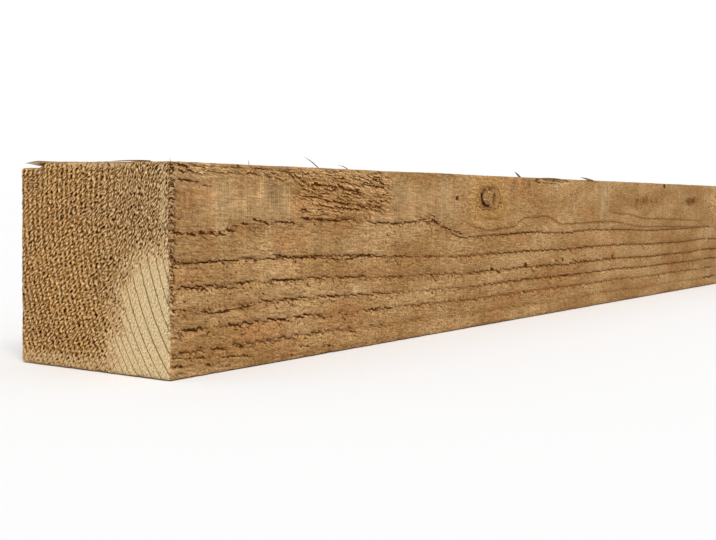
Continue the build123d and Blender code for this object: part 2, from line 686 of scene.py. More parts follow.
def cut_end(bench, at, grown):
    """What the saw left on the cut ends: slanting pits, ridges beside them that the material brightens with
    a painted highlight, and a smooth corner.
    """
    along, across, height = at.along, at.across, at.height
    from_back = at.from_back
    blotch = bench.noise(along / 9, across / 9, height / 9, detail=1)
    corner = (from_back - 66 - height * 0.31 + (blotch - 0.5) * 22).ramp(-20, 8) * (1 - height.ramp(46, 68))
    rim = (1 - height.ramp(3, 9)) * 0.4
    rim = rim.most(from_back.hill(95, 2.2) * height.ramp(52, 64) * blotch.ramp(0.3, 0.6) * 0.5)
    rim = rim.most(height.ramp(96, 99) * from_back.hill(46, 26) * 0.6)
    smooth = corner.most(rim)
    columns = (grown.ring + 0.5).wave() * (1 - from_back.ramp(50, 74) * 0.8)
    right = (from_back + (blotch - 0.5) * 60).ramp(62, 66)
    pit = lip_highlight = None
    for slant, share in ((LEFT_SLANT, 1 - right), (RIGHT_SLANT, right)):
        lean = radians(slant)
        run = from_back * cos(lean) + height * sin(lean) + along * 0.73
        side = height * cos(lean) - from_back * sin(lean)
        hatch = (side / HATCH_STEP + (blotch + bench.noise(from_back / 4, height / 4, 0.0)) * 1.2).wave()
        furrows = bench.noise(run / 1.7, side / 0.47, 0.0, detail=1) + hatch * 0.05
        strokes = furrows + smooth * 0.16 + columns * 0.05
        hole = (1 - strokes.ramp(0.405, 0.475)) * share
        # The ridges beside the pits, which the material brightens with a painted highlight
        crest_highlight = strokes.ramp(0.53, 0.61) * share
        pit = hole if pit is None else pit.most(hole)
        lip_highlight = crest_highlight if lip_highlight is None else lip_highlight.most(crest_highlight)
    pit = pit * (1 - smooth.ramp(0.6, 1.0))
    lip_highlight = lip_highlight * (1 - pit) * (1 - smooth * 0.7)
    ring_line = (1 - abs(grown.away).ramp(0.12, 0.42)) * corner.ramp(0.2, 0.7)
    return SimpleNamespace(
        pit=pit, lip_highlight=lip_highlight, ring_line=ring_line, corner=corner, smooth=smooth, furrows=furrows,
    )


def relief(bench, place, facing, sizes):
    """How far the surface stands out, and how far it sinks at the split, in millimetres."""
    at = surface(bench, place, facing)
    grown = growth(bench, at)
    face = long_face(bench, at, grown)
    cut = cut_end(bench, at, grown)
    along, across, height = at.along, at.across, at.height
    crumble = bench.noise(along / 3.6, across / 1.7, height / 1.7, detail=1) - 0.5
    waves = bench.noise(along / 70, across / 24, height / 24) - 0.5

    # Chips along the arrises, and the torn teeth of the near upright one
    chips = bench.noise(along / 8, across / 9, height / 9, detail=3).ramp(0.46, 0.74)
    chips = chips * (1 - at.edge.ramp(0.0, 3.5))
    chips = chips * (1 - (1 - along.ramp(2, 8)) * (1 - at.from_back.ramp(2, 8)) * 0.75)
    notch, tuft = fray(bench, at)

    # Long faces and cut ends each have their own rise, and the arrises are cut from both
    rise = crumble * 0.55 * (1 - face.burnished * 0.75) + face.marks * 0.16 + waves * 0.7
    rise = rise - face.crescent * 1.1 - 0.15
    rise = rise - face.line * (sizes.line_depth * MM) - face.tears.most(face.gash) * (sizes.tear_depth * MM)
    cut_rise = crumble * 0.35 * (1 - cut.corner) - cut.pit * (sizes.pit_depth * MM)
    cut_rise = cut_rise - cut.ring_line * 0.15 - 0.1
    rise = rise * (1 - at.end) + cut_rise * at.end
    rise = rise - chips * (sizes.chip_depth * MM) - notch * 0.9 + tuft * 0.2

    # The top back corner of the near end, where a sliver has split off the top face
    split = (1 - at.from_back.ramp(12, 18)) * (1 - along.ramp(40, 78)) * height.ramp(80, 100)
    return rise, split * (sizes.split_depth * MM)


def tree_with(name, inputs):
    """An empty Geometry Nodes tree with a geometry in and out and the named inputs."""
    tree = bpy.data.node_groups.new(name, "GeometryNodeTree")
    tree.interface.new_socket("Geometry", in_out="INPUT", socket_type="NodeSocketGeometry")
    tree.interface.new_socket("Geometry", in_out="OUTPUT", socket_type="NodeSocketGeometry")
    for label, kind in inputs:
        tree.interface.new_socket(label, in_out="INPUT", socket_type=kind)
    return tree


def sawn_surface_tree(sizes):
    """Cuts the grain's relief into a plain block and keeps where each point was before."""
    tree = tree_with("sawn_surface", [("Wood", "NodeSocketMaterial"), ("Cut end", "NodeSocketMaterial")])
    bench = Bench(tree)
    entry = bench.node("NodeGroupInput")
    place = bench.out("GeometryNodeInputPosition")
    facing = bench.out("GeometryNodeInputNormal")
    geometry = entry.outputs["Geometry"]
    for name, value in ((SAWN_AT, place), (SAWN_FACING, facing)):
        inputs = {"Geometry": geometry, "Name": name, "Value": value}
        geometry = bench.out("GeometryNodeStoreNamedAttribute", inputs, data_type="FLOAT_VECTOR")
    rise, sink = relief(bench, place, facing, sizes)
    offset = bench.scaled(facing, rise / MM)
    offset = bench.out("ShaderNodeVectorMath", {0: offset, 1: bench.vector(0.0, 0.0, sink / -MM)})
    moved = bench.out("GeometryNodeSetPosition", {"Geometry": geometry, "Offset": offset})
    whole = bench.out("GeometryNodeRealizeInstances", {"Geometry": moved})
    inputs = {"Geometry": whole, "Material": entry.outputs["Wood"]}
    dressed = bench.out("GeometryNodeSetMaterial", inputs)
    across_grain = bench.out("GeometryNodeInputNamedAttribute", {"Name": CUT_END}, data_type="BOOLEAN")
    inputs = {"Geometry": dressed, "Selection": across_grain, "Material": entry.outputs["Cut end"]}
    bench.node("NodeGroupOutput", {"Geometry": bench.out("GeometryNodeSetMaterial", inputs)})
    return tree


def add_tree(obj, tree, values):
    """Adds the tree as a modifier, with its inputs set by their identifiers."""
    modifier = obj.modifiers.new(tree.name, "NODES")
    modifier.node_group = tree
    for item in tree.interface.items_tree:
        if item.in_out == "INPUT" and item.name in values:
            modifier[item.identifier] = values[item.name]


def make_plain(obj):
    """Turns the evaluated object into a plain mesh without modifiers."""
    graph = bpy.context.evaluated_depsgraph_get()
    ready = obj.evaluated_get(graph)
    mesh = bpy.data.meshes.new_from_object(ready, preserve_all_data_layers=True, depsgraph=graph)
    source = obj.data
    obj.modifiers.clear()
    obj.data = mesh
    bpy.data.meshes.remove(source)
    mesh.name = obj.name


def new_piece(name, mesh):
    obj = bpy.data.objects.new(name, mesh)
    bpy.context.scene.collection.objects.link(obj)
    return obj


def stations(low, high, radius, steps):
    """Places along one axis: two in each rounded edge and the rest by the spacing that steps gives."""
    places = [low, low + radius / 2, low + radius]
    while places[-1] + steps(places[-1] - low) < high - radius:
        places.append(places[-1] + steps(places[-1] - low))
    return np.array([*places, high - radius, high - radius / 2, high])


def sawn_block(name, low, high, radius, marks):
    """A closed block with rounded arrises, its faces divided at the marks along each axis."""
    counts = [len(m) for m in marks]
    corners = []
    for axis in range(3):
        first, second = (axis + 1) % 3, (axis + 2) % 3
        for side in (0, counts[axis] - 1):
            index = [None] * 3
            index[axis] = np.full((counts[first], counts[second]), side)
            rows, columns = np.arange(counts[first]), np.arange(counts[second])
            index[first], index[second] = np.meshgrid(rows, columns, indexing="ij")
            key = (index[0] * counts[1] + index[1]) * counts[2] + index[2]
            quad = np.stack([key[:-1, :-1], key[1:, :-1], key[1:, 1:], key[:-1, 1:]], -1).reshape(-1, 4)
            corners.append(quad if side else quad[:, ::-1])
    lattice, where = np.unique(np.concatenate([c.ravel() for c in corners]), return_inverse=True)
    i, rest = np.divmod(lattice, counts[1] * counts[2])
    j, k = np.divmod(rest, counts[2])
    points = np.stack([marks[0][i], marks[1][j], marks[2][k]], -1)
    core = np.clip(points, np.array(low) + radius, np.array(high) - radius)
    out = points - core
    points = core + out * (radius / np.linalg.norm(out, axis=1, keepdims=True))
    mesh = bpy.data.meshes.new(name)
    mesh.vertices.add(len(points))
    mesh.vertices.foreach_set("co", points.astype(np.float32).ravel())
    mesh.loops.add(len(where))
    mesh.loops.foreach_set("vertex_index", where.astype(np.int32).ravel())
    mesh.polygons.add(len(where) // 4)
    mesh.polygons.foreach_set("loop_start", np.arange(0, len(where), 4, dtype=np.int32))
    mesh.update(calc_edges=True)
    ends = mesh.attributes.new(CUT_END, "BOOLEAN", "FACE")
    ends.data.foreach_set("value", np.arange(len(where) // 4) < len(corners[0]) + len(corners[1]))
    return mesh


def new_wood(name):
    """A new material without nodes, and its bench."""
    material = bpy.data.materials.new(name)
    material.use_nodes = True
    material.node_tree.nodes.clear()
    return material, Bench(material.node_tree)


def sawn_wood(name):
    """A new material, its bench, and where on the sawn beam the point lies that it colours."""
    material, bench = new_wood(name)
    place = bench.node("ShaderNodeAttribute", attribute_name=SAWN_AT).outputs["Vector"]
    facing = bench.node("ShaderNodeAttribute", attribute_name=SAWN_FACING).outputs["Vector"]
    return material, bench, surface(bench, place, facing)


def finish_wood(bench, colour, fine, rough):
    """Ends a wood material: its colour, its fine relief in millimetres and its roughness."""
    bump = bench.node("ShaderNodeBump", {"Strength": 1.0, "Distance": 1 / MM, "Height": fine})
    shader = bench.node("ShaderNodeBsdfPrincipled", {"Base Color": colour, "Roughness": rough})
    shader.inputs["Specular IOR Level"].default_value = 0.02
    bench.feed(shader.inputs["Normal"], bump.outputs[0])
    bench.node("ShaderNodeOutputMaterial", {"Surface": shader.outputs[0]})


def long_face_material(colours):
    """Rough-sawn, treated softwood along the grain, coloured by the formulas that cut its relief."""
    material, bench, at = sawn_wood("sawn_wood")
    along, across, height = at.along, at.across, at.height
    grown = growth(bench, at)
    wood = long_face(bench, at, grown)
    rough_wood = 1 - wood.burnished
    grain = bench.noise(along / 9, (across + along * 0.06) / 0.85, (height + along * 0.06) / 0.85, detail=2)
    steep = along * 0.3
    crumbs = bench.noise(along / 3.4, (across + steep) / 0.7, (height + steep) / 0.7, detail=1)

    tone = bench.noise(along / 60, across / 18, height / 18, detail=3).ramp(0.32, 0.68)
    face = bench.blend(tone, colours.tan, colours.brown)
    stain = bench.noise(along / 34, across / 11, height / 11 + 7.0, detail=2).ramp(0.45, 0.70)
    face = bench.blend((stain * 0.45).most(wood.stained * 0.6), face, colours.rust)
    rubbed = (wood.burnished * 0.24).most(wood.gleam * (wood.marks * 0.6 + 0.48))
    face = bench.blend(rubbed, face, colours.burnished)
    face = bench.blend(wood.late * 0.75, face, colours.late)

    # Round a knot the grain turns golden and curls, then the rim and the speckled heart
    halo = grown.knot.hill(2.0, 1.3)
    curls = (grown.knot * 2.4 + grain * 1.5).fract().ramp(0.55, 0.95)
    face = bench.blend(halo * 0.45, face, colours.halo)
    face = bench.blend(halo * curls * 0.45, face, colours.late)
    face = bench.blend(grown.knot.hill(1.15, 0.42) * (grown.burr * 2 + 0.7), face, colours.knot_rim)
    heart = bench.blend(crumbs.ramp(0.2, 0.7), colours.knot_rim, colours.knot)
    face = bench.blend(1 - grown.knot.ramp(0.72, 0.98), face, heart)

    # Light and dark: rings, grain, crumbs and the saw's marks, and painted highlights on the raised edges
    # below the ring lines and on the ridges between lifted sheets
    light = 1.035 - grown.ring * grown.ring * 0.10 + wood.low * 0.075
    strong = 1 - along.ramp(330, 620) * 0.3
    light = light * (1 + (along.ramp(150, 260) * 0.03 - along.ramp(480, 700) * 0.08) * at.shown)
    light = light * ((grain - 0.5) * (rough_wood * 0.2 + 1.3) * strong + 1)
    light = light * ((crumbs - 0.5) * (rough_wood * 0.8 + 0.9) * strong + 1)
    light = light * (wood.marks * (wood.burnished * 0.3 + 0.3) + 1)
    light = light * (1 - wood.scored * (wood.burnished * 0.16 + 0.08))
    # Painted highlight on the raised edge just below each ring line
    light = light * (wood.off.hill(1.3, 0.5) * wood.line.most(0.3) * 0.2 + 1)
    bands = bench.noise(along / 8, across / 60, height / 60 + 2.0, detail=1)
    light = light * ((bands - 0.5) * (wood.burnished * 0.6 + 0.25) + 1)
    # Painted highlight on the ridges between the lifted sheets of the torn patches
    light = light * (wood.ridge_highlight * 0.9 + wood.torn * 0.04 + 1)
    face = bench.brighten(face, light)

    # Pale tufts; the dark bottoms of all that is torn open, partly the torn wood's own darker brown and
    # partly painted shade in the hollows; and near-black painted shade in the deepest openings
    notch, tuft = fray(bench, at)
    face = bench.blend(tuft * 0.45, face, colours.fibre)
    groove_dark_and_shade = (wood.line * 0.95).most(wood.tears * 0.95).most(wood.gash * 0.95).most(notch * 0.9)
    face = bench.blend(groove_dark_and_shade, face, colours.torn)
    # Near-black painted shade in the deepest cracks, gashes, ring lines and tears
    deepest_shade = wood.crescent.most(notch * 0.5).most(wood.gash * 0.4)
    deepest_shade = deepest_shade.most(wood.line * wood.line * 0.5).most(wood.tears * wood.torn * 0.4)
    face = bench.blend(deepest_shade, face, colours.crack_shade)

    hairs = bench.noise(along / 5, across / 0.35, height / 0.35, detail=1)
    finish_wood(bench, face, crumbs * 0.6 + grain * 0.4 + hairs * 0.2, 0.86 - wood.burnished * 0.16)
    return material


def cut_end_material(colours):
    """The same wood across the grain, as the saw left it on the cut ends."""
    material, bench, at = sawn_wood("cut_end_wood")
    along, across, height = at.along, at.across, at.height
    wood = cut_end(bench, at, growth(bench, at))
    gold = bench.noise(along / 30, across / 22, height / 22, detail=2).ramp(0.35, 0.65)
    specks = bench.noise(along / 0.8, across / 0.8, height / 0.8, detail=1)
    cut = bench.blend(gold, colours.end_gold, colours.end_brown)
    cut = bench.blend(at.from_back.ramp(30, 90) * 0.7, cut, colours.end_tan)
    cut = bench.blend(wood.smooth * 0.85, cut, colours.end_pale)
    low = (1 - height.ramp(10, 55)) * (1 - wood.corner)
    speckled = (specks - 0.5) * (wood.corner * 1.8 + 0.8) + (wood.furrows - 0.5) * wood.corner * 0.9
    cut = bench.brighten(cut, speckled + low * 0.07 + 1.02)
    # Painted highlight on the ridges beside the pits, over pale fibre ends
    cut = bench.blend(wood.lip_highlight * 0.85, cut, colours.end_fibre_highlight)
    cut = bench.blend(wood.ring_line * 0.8, cut, colours.end_ring)
    # Painted shade at the bottom of the pits
    cut = bench.blend(wood.pit, cut, colours.end_pit_shade)
    notch, tuft = fray(bench, at)
    cut = bench.blend(tuft * 0.5, cut, colours.fibre)
    # The notches darkened partly with painted shade
    cut = bench.blend(notch * 0.85, cut, colours.torn)
    finish_wood(bench, cut, specks * 0.3 + (wood.furrows - 0.5) * 1.4 * (1 - wood.corner), 0.9)
    return material


def torn_wood_material(name, pale, dark):
    """Loose fibres and splinters: streaks along the grain between a pale and a dark colour."""
    material, bench = new_wood(name)
    x, y, z = bench.parts(bench.node("ShaderNodeTexCoord").outputs["Object"])
    x, y, z = x * MM, y * MM, z * MM
    streaks = bench.noise(x / 6, y / 0.7, z / 0.7, detail=2)
    stain = bench.noise(x / 9, y / 9, z / 9 + 5.0)
    tips = (z - HEIGHT).ramp(0, 3) * 0.35
    colour = bench.blend((streaks + stain * 0.6 - 0.3 + tips).ramp(0.3, 0.7), pale, dark)
    finish_wood(bench, colour, streaks * 0.4, 0.9)
    return material


def sliver_material(colours):
    """The split sliver: greyed towards its loose end, and darkened there: on top where it is torn, and
    along its lower outer edge with painted shade.
    """
    material, bench = new_wood("sliver_wood")
    x, y, z = bench.parts(bench.node("ShaderNodeTexCoord").outputs["Object"])
    along = (x - BEAM_LOW.x) * MM
    from_back = HALF_WIDTH - y * MM
    level = z * MM
    streaks = bench.noise(along / 7, from_back / 0.9, level / 0.5, detail=2)
    fresh = (streaks + along.ramp(4, 40) * 0.4).ramp(0.40, 0.80)
    colour = bench.blend(fresh, colours.weathered, colours.tan)
    crumbs = bench.noise(along / 3.4, (from_back + along * 0.3) / 0.7, level / 0.7, detail=1)
    colour = bench.brighten(colour, (streaks + crumbs - 1) * 1.5 + 0.96)
    # Painted shade along the lower outer edge at the loose end, and the torn top there
    dark = (from_back + streaks * 8).ramp(13, 17) * (1 - (level + streaks).ramp(99.5, 100.5))
    dark = dark.most((level - from_back * 0.06 + streaks).ramp(99.6, 100.0) * 0.7) * (1 - along.ramp(3, 9))
    finish_wood(bench, bench.blend(dark, colour, colours.torn), streaks * 0.4, 0.9)
    return material


def fibre_tree():
    """Scatters torn fibres along an edge: tapered hooks, each moved, turned and sized at random."""
    vectors = ("Middle", "Tip", "Least move", "Most move", "Least turn", "Most turn")
    numbers = ("Thickness", "Shortest", "Longest")
    inputs = [("Count", "NodeSocketInt"), ("Seed", "NodeSocketInt"), ("Fibre", "NodeSocketMaterial")]
    inputs += [(label, "NodeSocketVector") for label in vectors]
    inputs += [(label, "NodeSocketFloat") for label in numbers]
    tree = tree_with("torn_fibres", inputs)
    bench = Bench(tree)
    take = bench.node("NodeGroupInput").outputs

    def chance(kind, low, high, turn):
        node = bench.node("FunctionNodeRandomValue", data_type=kind)
        ends = ("Min", "Max") if kind == "FLOAT_VECTOR" else ("Min_001", "Max_001")
        sockets = {socket.identifier: socket for socket in node.inputs}
        bench.feed(sockets[ends[0]], take[low])
        bench.feed(sockets[ends[1]], take[high])
        bench.feed(sockets["Seed"], Term(bench, take["Seed"]) * 10 + turn)
        return next(out for out in node.outputs if out.enabled)

    edge = bench.out("GeometryNodeMeshToCurve", {0: take["Geometry"]})
    roots = bench.out("GeometryNodeResampleCurve", {"Curve": edge, "Count": take["Count"]})
    move = chance("FLOAT_VECTOR", "Least move", "Most move", 1)
    roots = bench.out("GeometryNodeSetPosition", {"Geometry": roots, "Offset": move})
    inputs = {"Resolution": 4, "Start": (0, 0, 0), "Middle": take["Middle"], "End": take["Tip"]}
    path = bench.out("GeometryNodeCurveQuadraticBezier", inputs)
    gone = Term(bench, bench.node("GeometryNodeSplineParameter").outputs["Factor"])
    rod = bench.out("GeometryNodeCurvePrimitiveCircle", {"Resolution": 3, "Radius": take["Thickness"]})
    inputs = {"Curve": path, "Profile Curve": rod, "Scale": 1 - gone * 0.8, "Fill Caps": True}
    hook = bench.out("GeometryNodeCurveToMesh", inputs)
    turn = chance("FLOAT_VECTOR", "Least turn", "Most turn", 2)
    turn = bench.out("FunctionNodeEulerToRotation", {0: turn})
    length = chance("FLOAT", "Shortest", "Longest", 3)
    inputs = {"Points": roots, "Instance": hook, "Rotation": turn, "Scale": length}
    spread = bench.out("GeometryNodeInstanceOnPoints", inputs)
    whole = bench.out("GeometryNodeRealizeInstances", {"Geometry": spread})
    dressed = bench.out("GeometryNodeSetMaterial", {"Geometry": whole, "Material": take["Fibre"]})
    bench.node("NodeGroupOutput", {"Geometry": dressed})
    return tree


def splinter_tree():
    """One splinter: a tapered rod along a curve from its root to its tip."""
    inputs = [("Root", "NodeSocketVector"), ("Middle", "NodeSocketVector"), ("Tip", "NodeSocketVector")]
    inputs += [("Thickness", "NodeSocketFloat"), ("Wood", "NodeSocketMaterial")]
    tree = tree_with("splinter", inputs)
    bench = Bench(tree)
    take = bench.node("NodeGroupInput").outputs
    inputs = {"Resolution": 10, "Start": take["Root"], "Middle": take["Middle"], "End": take["Tip"]}
    path = bench.out("GeometryNodeCurveQuadraticBezier", inputs)
    gone = Term(bench, bench.node("GeometryNodeSplineParameter").outputs["Factor"])
    taper = (1 - gone * gone * 0.92).most(0.08)
    rod = bench.out("GeometryNodeCurvePrimitiveCircle", {"Resolution": 6, "Radius": take["Thickness"]})
    inputs = {"Curve": path, "Profile Curve": rod, "Scale": taper, "Fill Caps": True}
    whole = bench.out("GeometryNodeCurveToMesh", inputs)
    whole = bench.out("GeometryNodeRealizeInstances", {"Geometry": whole})
    dressed = bench.out("GeometryNodeSetMaterial", {"Geometry": whole, "Material": take["Wood"]})
    bench.node("NodeGroupOutput", {"Geometry": dressed})
    return tree


def spot(along, depth, height):
    """A place in metres, from millimetres along the beam, in from the front face and up."""
    return Vector((BEAM_LOW.x + along / MM, BEAM_LOW.y + depth / MM, BEAM_LOW.z + height / MM))


def gather(name, objects, material):
    """Joins the finished meshes of several objects into one plain piece of one material."""
    whole = bmesh.new()
    for obj in objects:
        make_plain(obj)
        whole.from_mesh(obj.data)
    bmesh.ops.recalc_face_normals(whole, faces=whole.faces)
    for face in whole.faces:
        face.material_index = 0
    mesh = bpy.data.meshes.new(name)
    whole.to_mesh(mesh)
    whole.free()
    mesh.materials.append(material)
    for obj in objects:
        bpy.data.meshes.remove(obj.data)
    return new_piece(name, mesh)


def sliver_point(gone, side, upper):
    """A point of the sliver: how far along it, how far across from its back edge, and on top or below."""
    length, back, width, middle = 84, 2.2, 15.8, 99.1
    half = (1.15 * (1 - gone) ** 0.8 + 0.12) * sin(pi * side**1.4)
    from_back = back + 4 * gone + (width - 5 * gone) * side
    level = middle + 0.15 * side + 0.5 * gone + 0.12 * sin(7 * side + 3 * gone) * (1 - gone)
    along = 0.6 + length * gone + 3 * side * (1 - gone)
    return spot(along, 2 * HALF_WIDTH - from_back, level + upper * half)


def sliver_mesh(name):
    """The split sliver: a long lens, thick at the near end and thin where it still joins the top face."""
    rings, around = 9, 24
    points = []
    for ring in range(rings):
        for point in range(around):
            side = 1 - abs(2 * point / around - 1)
            upper = 1 if point < around / 2 else -1
            points.append(sliver_point(ring / (rings - 1), side, upper))
    last = (rings - 1) * around
    faces = [tuple(range(around)), tuple(reversed(range(last, last + around)))]
    for start in range(0, last, around):
        for point in range(around):
            first, second = start + point, start + (point + 1) % around
            faces.append((first, first + around, second + around, second))
    mesh = bpy.data.meshes.new(name)
    mesh.from_pydata(points, [], faces)
    whole = bmesh.new()
    whole.from_mesh(mesh)
    bmesh.ops.remove_doubles(whole, verts=whole.verts, dist=1e-6)
    bmesh.ops.recalc_face_normals(whole, faces=whole.faces)
    whole.to_mesh(mesh)
    whole.free()
    mesh.shade_smooth()
    mesh.set_sharp_from_angle(angle=radians(50))
    return mesh


def lay_out_map(mesh):
    """Lays the long faces out as short strips and the ends above them, so that a bake wastes no room."""
    count = len(mesh.polygons)
    place = np.empty(len(mesh.vertices) * 3, np.float32)
    facing = np.empty(len(mesh.vertices) * 3, np.float32)
    mesh.attributes[SAWN_AT].data.foreach_get("vector", place)
    mesh.attributes[SAWN_FACING].data.foreach_get("vector", facing)
    corner = np.empty(len(mesh.loops), np.int32)
    mesh.loops.foreach_get("vertex_index", corner)
    corner = corner.reshape(count, 3)
    place = place.reshape(-1, 3)[corner] * MM
    toward = facing.reshape(-1, 3)[corner].mean(1)
    axis = np.abs(toward).argmax(1)
    ahead = np.take_along_axis(toward, axis[:, None], 1)[:, 0] > 0
    along = place[..., 0] - BEAM_LOW.x * MM
    lengths, gap = 5, 8.0
    piece = LENGTH / lengths
    number = np.clip(along.mean(1) // piece, 0, lengths - 1)
    other = np.where((axis == 2)[:, None], place[..., 1] + HALF_WIDTH, place[..., 2] - BEAM_LOW.z * MM)
    strip = ((axis - 1) * 2 + ahead) * lengths + number
    column, row = strip % 2, strip // 2
    right = along - (number * piece)[:, None] + (column * (piece + gap))[:, None]
    upward = other + (row * (HEIGHT + gap))[:, None]
    at_end = (axis == 0)[:, None]
    right = np.where(at_end, place[..., 1] + HALF_WIDTH + (ahead * (2 * HALF_WIDTH + gap))[:, None], right)
    upward = np.where(at_end, place[..., 2] - BEAM_LOW.z * MM + 2 * lengths * (HEIGHT + gap), upward)
    whole = (2 * lengths + 1) * (HEIGHT + gap) + gap
    chart = (np.stack([right, upward], -1) + gap) / (whole + gap)
    layer = mesh.uv_layers.new(name="OFBake")
    layer.data.foreach_set("uv", chart.astype(np.float32).ravel())


def keep_piece(obj, *nodes):
    """Hangs a finished piece on the one body and hides the imported parts that it replaces."""
    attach(obj, "root")
    if nodes:
        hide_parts(*nodes)


class BEAM_OT_saw(bpy.types.Operator):
    """Saws the beam: a block into which Geometry Nodes cut the grain, thinned to what that needs"""

    bl_idname = "beam.saw"
    bl_label = "Saw the Beam"

    def execute(self, context):
        sizes = context.scene.beam_sizes
        fine, coarse, section = sizes.fine_step, sizes.coarse_step, sizes.section_step

        # The mesh is fine along the length that the photo shows, and its steps grow past it
        shown, growing = 0.85, 0.03

        def lengthwise(gone):
            if gone < shown:
                return fine * (1 + gone / shown)
            return min(coarse, fine * 2 + (gone - shown) * growing)

        marks = [
            stations(BEAM_LOW.x, BEAM_HIGH.x, sizes.arris, lengthwise),
            stations(BEAM_LOW.y, BEAM_HIGH.y, sizes.arris, lambda gone: section),
            stations(BEAM_LOW.z, BEAM_HIGH.z, sizes.arris, lambda gone: section),
        ]
        block = sawn_block("sawn_beam", BEAM_LOW, BEAM_HIGH, sizes.arris, marks)
        obj = new_piece("sawn_beam", block)
        colours = context.scene.beam_colours
        woods = {"Wood": long_face_material(colours), "Cut end": cut_end_material(colours)}
        add_tree(obj, sawn_surface_tree(sizes), woods)
        thin = obj.modifiers.new("thin", "DECIMATE")
        thin.ratio = sizes.faces / (2 * len(block.polygons))
        thin.use_collapse_triangulate = True
        make_plain(obj)
        mesh = obj.data
        mesh.shade_smooth()
        mesh.set_sharp_from_angle(angle=radians(55))
        lay_out_map(mesh)
        keep_piece(obj, "beam")
        return {"FINISHED"}


# Half the thickness of a fibre
HALF_FIBRE = 0.12

# Where fibres are rooted in the far end
FAR = LENGTH - 0.4

# Frayed edges: ends of the root line, a fibre's tip and bow, its turns in radians, its scale, the count
FRAYED_EDGES = (
    ((0.5, 0.3, 20), (0.5, 0.3, 99), (1, -0.10, 0), (0.5, -0.30, 0), (0.5, 0.9, 0.3), 0.8, 2.4, 46),
    ((0.3, 0.5, 20), (0.3, 0.5, 99), (-0.10, 1, 0), (-0.30, 0.5, 0), (0.9, 0.5, 0.3), 0.8, 2.2, 46),
    ((0.4, 4, 99.6), (0.4, 80, 99.6), (-0.3, 0.2, 0.5), (-0.3, 0.0, 0.2), (0.9, 0.9, 0.9), 0.5, 1.2, 30),
    ((0.4, 99.5, 6), (0.4, 99.5, 94), (-0.4, 0.5, 0.2), (-0.3, 0.1, 0), (0.9, 0.9, 0.9), 0.4, 0.9, 24),
    ((0.4, 4, 0.6), (0.4, 96, 0.6), (-0.6, 0.3, 0.0), (-0.4, 0.0, 0.1), (0.6, 0.6, 0.9), 0.8, 1.8, 46),
    ((4, 0.4, 99.4), (900, 0.4, 99.4), (0.9, -0.1, 0.12), (0.4, -0.1, 0.16), (0.5, 0.3, 0.6), 0.8, 2.4, 70),
    ((FAR, 4, 99.6), (FAR, 96, 99.6), (0.3, 0.2, 0.5), (0.3, 0.0, 0.2), (0.9, 0.9, 0.9), 0.8, 2.2, 60),
    ((FAR, 0.5, 5), (FAR, 0.5, 96), (0.4, -0.5, 0.2), (0.3, -0.1, 0), (0.9, 0.9, 0.9), 0.8, 2.4, 50),
    ((FAR, 99.5, 5), (FAR, 99.5, 96), (0.4, 0.5, 0.2), (0.3, 0.1, 0), (0.9, 0.9, 0.9), 0.8, 2.4, 50),
)

# Splinters: root, middle and tip as places along, in from the front and up, and half thickness
SPLINTERS = (
    ((117, 1.5, 99.2), (109, 1.0, 103.6), (101.5, 0.6, 105.2), 0.28),
    ((145, 1.5, 99.3), (139, 0.8, 101.8), (132.5, 0.5, 101.5), 0.24),
    ((57.0, 1.0, 99.4), (56.6, 0.8, 101.2), (55.8, 0.8, 102.4), 0.18),
    ((361, 2.0, 99.4), (355, 1.0, 101.4), (348.5, 0.6, 103.3), 0.75),
    ((447, 1.2, 97.6), (414, -0.2, 100.8), (384, 0.4, 99.4), 0.8),
    ((497, 1.6, 98.2), (478, 0.2, 100.9), (462.5, 0.2, 101.7), 1.0),
    ((388, 0.6, 98.6), (380, -0.8, 97.6), (386.5, 0.2, 95.8), 0.7),
    ((1.5, 14, 99.9), (0.6, 26, 100.5), (0.8, 39, 99.9), 0.42),
)


class BEAM_OT_fray(bpy.types.Operator):
    """Frays the sawn edges with torn fibres that Geometry Nodes scatter along them"""

    bl_idname = "beam.fray"
    bl_label = "Fray the Edges"

    def execute(self, context):
        colours = context.scene.beam_colours
        tree = fibre_tree()
        pale = torn_wood_material("torn_fibre", colours.fibre, colours.tan)
        edges = []
        for number, (start, stop, tip, bow, turn, shortest, longest, count) in enumerate(FRAYED_EDGES):
            line = bpy.data.meshes.new("edge")
            line.from_pydata([spot(*start), spot(*stop)], [(0, 1)], [])
            obj = new_piece("edge", line)
            turns = Vector(turn)

            # Fibres stray a little from the root line, and up an edge by a share of their spacing
            share, stray = 0.4, 0.2
            spacing = abs(line.vertices[1].co.z - line.vertices[0].co.z) / count
            move = Vector((stray, stray, stray)) / MM + spacing * Vector((0, 0, share))
            values = {
                "Count": count, "Seed": number, "Fibre": pale,
                "Tip": Vector(tip) / MM, "Middle": Vector(bow) / MM,
                "Least move": -move, "Most move": move, "Least turn": -turns, "Most turn": turns,
                "Thickness": HALF_FIBRE / MM, "Shortest": shortest, "Longest": longest,
            }
            add_tree(obj, tree, values)
            edges.append(obj)
        keep_piece(gather("torn_fibres", edges, pale))
        return {"FINISHED"}


class BEAM_OT_splinter(bpy.types.Operator):
    """Raises splinters along the top edges, and the sliver that has split off the near top corner"""

    bl_idname = "beam.splinter"
    bl_label = "Raise the Splinters"

    def execute(self, context):
        colours = context.scene.beam_colours
        wood = torn_wood_material("splinter_wood", colours.brown, colours.splinter)
        tree = splinter_tree()
        raised = []
        for root, middle, tip, half in SPLINTERS:
            obj = new_piece("splinter", bpy.data.meshes.new("splinter"))
            values = {"Root": spot(*root), "Middle": spot(*middle), "Tip": spot(*tip)}
            add_tree(obj, tree, {**values, "Thickness": half / MM, "Wood": wood})
            raised.append(obj)
        keep_piece(gather("edge_splinters", raised, wood))

        sliver = sliver_mesh("split_sliver")
        sliver.materials.append(sliver_material(colours))
        keep_piece(new_piece("split_sliver", sliver))
        return {"FINISHED"}


